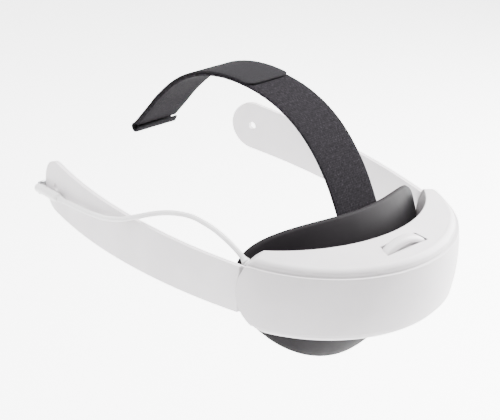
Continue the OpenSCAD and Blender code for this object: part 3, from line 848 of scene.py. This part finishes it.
@dataclass
class Cradle:
    """The charcoal shell that cups the back of the head, its posts and its soft pad.

    Its sizes are millimetres. The sheet is part of a ring's skin: up_r is its radius up and down,
    and sideways it is larger by ring. The hollow is the housing's front wall, where the posts start.
    """

    up_r: float = 80
    axis_y: float = 50
    ring: float = 18
    half_w: float = 73.6
    up: float = 37.8
    down: float = 53.6
    mid_z: float = -7.3
    centre_z: float = -13.5
    depth: float = 2.4
    top_power: float = 2.9
    low_power: float = 1.7
    rim_soft: float = 0.9
    sides: int = 160
    spokes: int = 14
    rim_steps: int = 8
    hollow_r: float = 84.95
    hollow_y: float = 30.3
    post_x: float = 24
    post_top: float = 8
    post_low: float = -12
    post_r: float = 4.2
    post_foot: float = 5.2
    pad_voxel: float = 1.6
    pad_smooth: int = 7

    def rim(self, angle: float, inset: float) -> Point:
        """Finds a point of the cradle's outline.

        Args:
            angle: The turn round its middle.
            inset: How much the outline is shrunk.

        Returns:
            The point's x and z from the middle.
        """
        c, s = math.cos(angle), math.sin(angle)
        power = self.top_power if s >= 0 else self.low_power
        tall = (self.up if s >= 0 else self.down) - inset
        wide = self.half_w - inset
        x = wide * math.copysign(abs(c) ** (2 / power), c)
        z = tall * math.copysign(abs(s) ** (2 / power), s)
        return x, z

    def back(self, x: float, z: float, inside: float) -> Vector:
        """Lays a point on the curved sheet.

        Args:
            x: How far to the side.
            z: How high.
            inside: Depth from the sheet's back face.

        Returns:
            The place in metres.
        """
        tall = z - self.centre_z
        around = self.ring + math.sqrt(max((self.up_r - inside) ** 2 - tall * tall, 1.0))
        y = self.axis_y - math.sqrt(max(around * around - x * x, 1.0))
        return Vector((x, y, z)) * MM

    def sheet_rings(self) -> list[list[Vector]]:
        """Lays the shell's rings from its back middle, round its rim, to its front middle.

        Returns:
            The rings, with a small first and last one.
        """
        soft = self.rim_soft
        shares = [0.02] + [k / self.spokes for k in range(1, self.spokes)]
        steps = [(share, soft, 0.0) for share in shares]
        for k in range(self.rim_steps + 1):
            a = math.radians(-90 + 180 * k / self.rim_steps)
            steps.append((1.0, soft * (1 - math.cos(a)), self.depth * (0.5 + 0.5 * math.sin(a))))
        steps += [(share, soft, self.depth) for share in reversed(shares)]
        rings = []
        for share, pull, inside in steps:
            ring = []
            for k in range(self.sides):
                x, z = self.rim(2 * math.pi * k / self.sides, pull)
                ring.append(self.back(x * share, self.mid_z + z * share, inside))
            rings.append(ring)
        return rings

    def build_shell(self) -> None:
        """Builds the charcoal shell, which stands for its CAD solid, and its four posts."""
        shell = loft("cradle_dish", self.sheet_rings())
        posts = self.build_posts()
        finish_piece(shell, CHARCOAL_ABS, "housing", "cradle_plastic", "cradle_shell")
        for post in posts:
            finish_piece(post, CHARCOAL_ABS, "housing", "cradle_plastic")

    def build_posts(self) -> list[bpy.types.Object]:
        """Builds the four posts between the housing and the shell.

        Returns:
            The posts, each with a flared foot inside the shell.
        """
        posts = []
        for x in (-self.post_x, self.post_x):
            for z in (self.post_top, self.post_low):
                front = self.back(x, z, self.depth / 2).y
                rear = -(math.sqrt(self.hollow_r ** 2 - x * x) - self.hollow_y) * MM
                reach = front - rear
                profile = [(0.0, self.post_r * MM), (reach - 1.6 * MM, self.post_r * MM),
                           (reach - 0.9 * MM, (self.post_r + 0.3) * MM), (reach, self.post_foot * MM)]
                name = f"cradle_post_{'left' if x < 0 else 'right'}_{'top' if z > 0 else 'low'}"
                root = Vector((x * MM, rear, z * MM))
                posts.append(lathe(name, profile, root, Vector((0, 1, 0)), 40))
        return posts

    def build_pad(self) -> None:
        """Builds the soft pad from its CAD solid, with its edges rounded off."""
        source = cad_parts["cradle_pad"]
        pad = bpy.data.objects.new("cradle_soft_pad", source.data.copy())
        bpy.context.scene.collection.objects.link(pad)
        bpy.context.view_layer.objects.active = pad
        remesh = pad.modifiers.new("voxels", "REMESH")
        remesh.mode = "VOXEL"
        remesh.voxel_size = self.pad_voxel * MM
        smooth = pad.modifiers.new("soften", "SMOOTH")
        smooth.factor = 0.5
        smooth.iterations = self.pad_smooth
        deps = bpy.context.evaluated_depsgraph_get()
        mesh = bpy.data.meshes.new_from_object(pad.evaluated_get(deps))
        pad.modifiers.clear()
        pad.data = mesh
        for polygon in mesh.polygons:
            polygon.use_smooth = True
        finish_piece(pad, PAD_SKIN, "housing", "pad_foam", "cradle_pad")


# ---- Crown strap ----


@dataclass
class CrownStrap:
    """The woven strap over the crown and the smooth flap that returns over it.

    Its sizes are millimetres. The path is y, counted from cradle_y behind the origin, and z. The
    loop fields place the fold at the front end, where the flap turns back.
    """

    cradle_y: float = 48.0
    path: list[Point] = field(default_factory=lambda: [
        (12.2, 17), (19.2, 30), (28, 44.5), (39, 57.5), (52, 68), (67, 75.3), (84, 79.6), (104, 80.8),
        (122, 78.8), (139, 73.2), (154, 64), (168, 50.5), (179, 37), (188, 26)])
    width: float = 32.0
    weave_t: float = 1.6
    flap_t: float = 1.2
    gap: float = 0.2
    flap_from: float = 6.4
    flap_round: float = 4.0
    loop_swell: float = 1.1
    loop_ahead: float = 3.0
    loop_drop: float = 1.4
    loop_first: float = 75.0
    loop_turn: float = 10.0
    loop_count: int = 16
    end_ahead: float = 0.1
    end_drop: float = 0.6
    strap_rows: int = 110
    flap_rows: int = 70

    def line(self, start: float, count: int) -> list[list[float]]:
        """Gives the strap's inner line from a place on its path to its end, in metres."""
        points = [((p[0] - self.cradle_y), p[1]) for p in self.path]
        return [[a * MM, b * MM] for a, b in curve(points, start, len(points) - 1, count)]

    @staticmethod
    def beside(line: list[list[float]], out: float) -> list[list[float]]:
        """Moves a line outward.

        Args:
            line: The line, in metres.
            out: How far, in metres.

        Returns:
            The moved line.
        """
        moved = []
        for i, p in enumerate(line):
            a, b = line[max(i - 1, 0)], line[min(i + 1, len(line) - 1)]
            size = math.hypot(b[0] - a[0], b[1] - a[1])
            moved.append([p[0] - out * (b[1] - a[1]) / size, p[1] + out * (b[0] - a[0]) / size])
        return moved

    def build(self) -> None:
        """Builds the strap and its flap."""
        width = self.width * MM
        weave = Ribbon("crown_webbing", self.line(0, self.strap_rows), width, self.weave_t * MM).build()
        finish_piece(weave, HEATHER_WEAVE, "housing", "strap_weave", "crown_strap")
        base = self.line(self.flap_from, self.flap_rows)
        low = self.beside(base, (self.weave_t + self.gap) * MM)
        tip = Vector(base[-1])
        ahead = (Vector(base[-1]) - Vector(base[-2])).normalized()
        up = Vector((-ahead.y, ahead.x))
        turn_r = ((self.weave_t + self.gap) / 2 + self.loop_swell) * MM
        centre = tip + ahead * self.loop_ahead * MM + up * (turn_r - self.loop_drop * MM)
        angles = [math.radians(self.loop_first - self.loop_turn * k) for k in range(self.loop_count)]
        turn = [centre + turn_r * (math.cos(a) * ahead + math.sin(a) * up) for a in angles]
        end = tip + ahead * self.end_ahead * MM - up * self.end_drop * MM
        line = low + [list(p) for p in turn] + [list(end)]
        flap = Ribbon("flap_webbing", line, width, self.flap_t * MM, start_round=self.flap_round * MM).build()
        finish_piece(flap, BRUSHED_LOOP, "housing", "flap_smooth", "strap_flap")


# ---- Housing ----


@dataclass
class Housing:
    """The finishes of the crescent battery housing, its wheel and everything inside it."""

    finishes: dict[str, Moulded | Woven | Metal] = field(default_factory=lambda: {
        "outer_cover": WHITE_POLYCARBONATE, "inner_cover": WHITE_POLYCARBONATE,
        "fit_wheel": WHITE_POLYCARBONATE,
        "chassis": GREY_NYLON, "drive_pinion": GREY_NYLON, "left_rack": GREY_NYLON, "right_rack": GREY_NYLON,
        "wheel_shaft": STEEL, "shaft_washer": STEEL, "detent_spring": STEEL, "cover_screws": STEEL,
        "cradle_screws": STEEL, "anchor_rivets": STEEL, "charge_port": STEEL,
        "left_cell": CELL_POUCH, "right_cell": CELL_POUCH, "cell_foam": CELL_FOAM,
        "circuit_board": SOLDER_MASK, "board_chips": CHIP_EPOXY, "status_light": LIGHT_PIPE,
        "strap_anchor": CHARCOAL_ABS})

    def dress(self) -> None:
        """Gives each carried-over CAD solid its finish."""
        for node, finish in self.finishes.items():
            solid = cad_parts[node]
            solid.data.materials.clear()
            solid.data.materials.append(PAINTS.get(finish))
            LOG.info("dressed %s", node)


# ---- Studio ----


@dataclass
class Studio:
    """A plain pale floor, soft light from the right and above, and the camera, in metres."""

    floor_z: float = -0.36
    floor_size: float = 120.0
    floor_glow: float = 1.8
    room_glow: float = 0.5
    eye: Point3 = (-0.6140, -0.5547, 0.4064)
    eye_right: Point3 = (0.7240, -0.6877, 0.0542)
    eye_up: Point3 = (0.2482, 0.3330, 0.9097)
    lens: float = 115.2
    sensor: float = 36.0
    shift: Point = (0.0142, -0.0602)

    def build_camera(self) -> None:
        """Places a long lens behind the wearer's left shoulder, a little above the housing."""
        right, up = Vector(self.eye_right), Vector(self.eye_up)
        back = right.cross(up)
        data = bpy.data.cameras.new("camera")
        data.lens = self.lens
        data.sensor_width = self.sensor
        data.shift_x, data.shift_y = self.shift
        data.clip_end = 20
        camera = bpy.data.objects.new("camera", data)
        turn = Matrix((right, up, back)).transposed().to_4x4()
        camera.matrix_world = Matrix.Translation(Vector(self.eye)) @ turn
        bpy.context.scene.collection.objects.link(camera)
        bpy.context.scene.camera = camera

    def build_floor(self) -> None:
        """Adds the wide pale floor."""
        far = self.floor_size / 2
        corners = [(x, y, self.floor_z) for x, y in ((-far, -far), (far, -far), (far, far), (-far, far))]
        floor = add_mesh("floor", corners, [(0, 1, 2, 3)])
        paint = bpy.data.materials.new("pale_studio_floor")
        paint.use_nodes = True
        shader = paint.node_tree.nodes["Principled BSDF"]
        shader.inputs["Base Color"].default_value = linear("#fbfbfb")
        shader.inputs["Roughness"].default_value = 0.9
        # the floor glows a little, so that it stays pale all round the strap
        shader.inputs["Emission Color"].default_value = (1, 1, 1, 1)
        shader.inputs["Emission Strength"].default_value = self.floor_glow
        floor.data.materials.append(paint)

    def build_lights(self) -> None:
        """Adds the pale surroundings and soft lights."""
        world = bpy.data.worlds.new("pale_room")
        bpy.context.scene.world = world
        world.use_nodes = True
        sky = world.node_tree.nodes["Background"]
        sky.inputs["Color"].default_value = (1, 1, 1, 1)
        sky.inputs["Strength"].default_value = self.room_glow
        self.lamp("right_bank", (1.15, -0.25, 0.45), 1.2, 140)
        self.lamp("left_bank", (-1.2, 0.75, 0.5), 1.2, 30)
        self.lamp("top_bank", (0.1, 0.1, 1.4), 1.4, 115)

    def lamp(self, name: str, place: Point3, size: float, power: float) -> None:
        """Adds a square area light that faces the strap's middle.

        Args:
            name: The light's name.
            place: Where it stands.
            size: The length of its sides.
            power: Its power in watts.
        """
        data = bpy.data.lights.new(name, "AREA")
        data.size = size
        data.energy = power
        lamp = bpy.data.objects.new(name, data)
        lamp.location = place
        away = Vector(place) - Vector((0.0, 0.02, 0.0))
        lamp.rotation_euler = away.to_track_quat("Z", "Y").to_euler()
        bpy.context.scene.collection.objects.link(lamp)


def main() -> None:
    """Builds the studio and every piece."""
    studio = Studio()
    studio.build_camera()
    Cable().build()
    studio.build_floor()
    studio.build_lights()
    for side in (-1, 1):
        SideBand(side).build()
    cradle = Cradle()
    cradle.build_shell()
    cradle.build_pad()
    CrownStrap().build()
    Housing().dress()


if __name__ == "__main__":
    main()
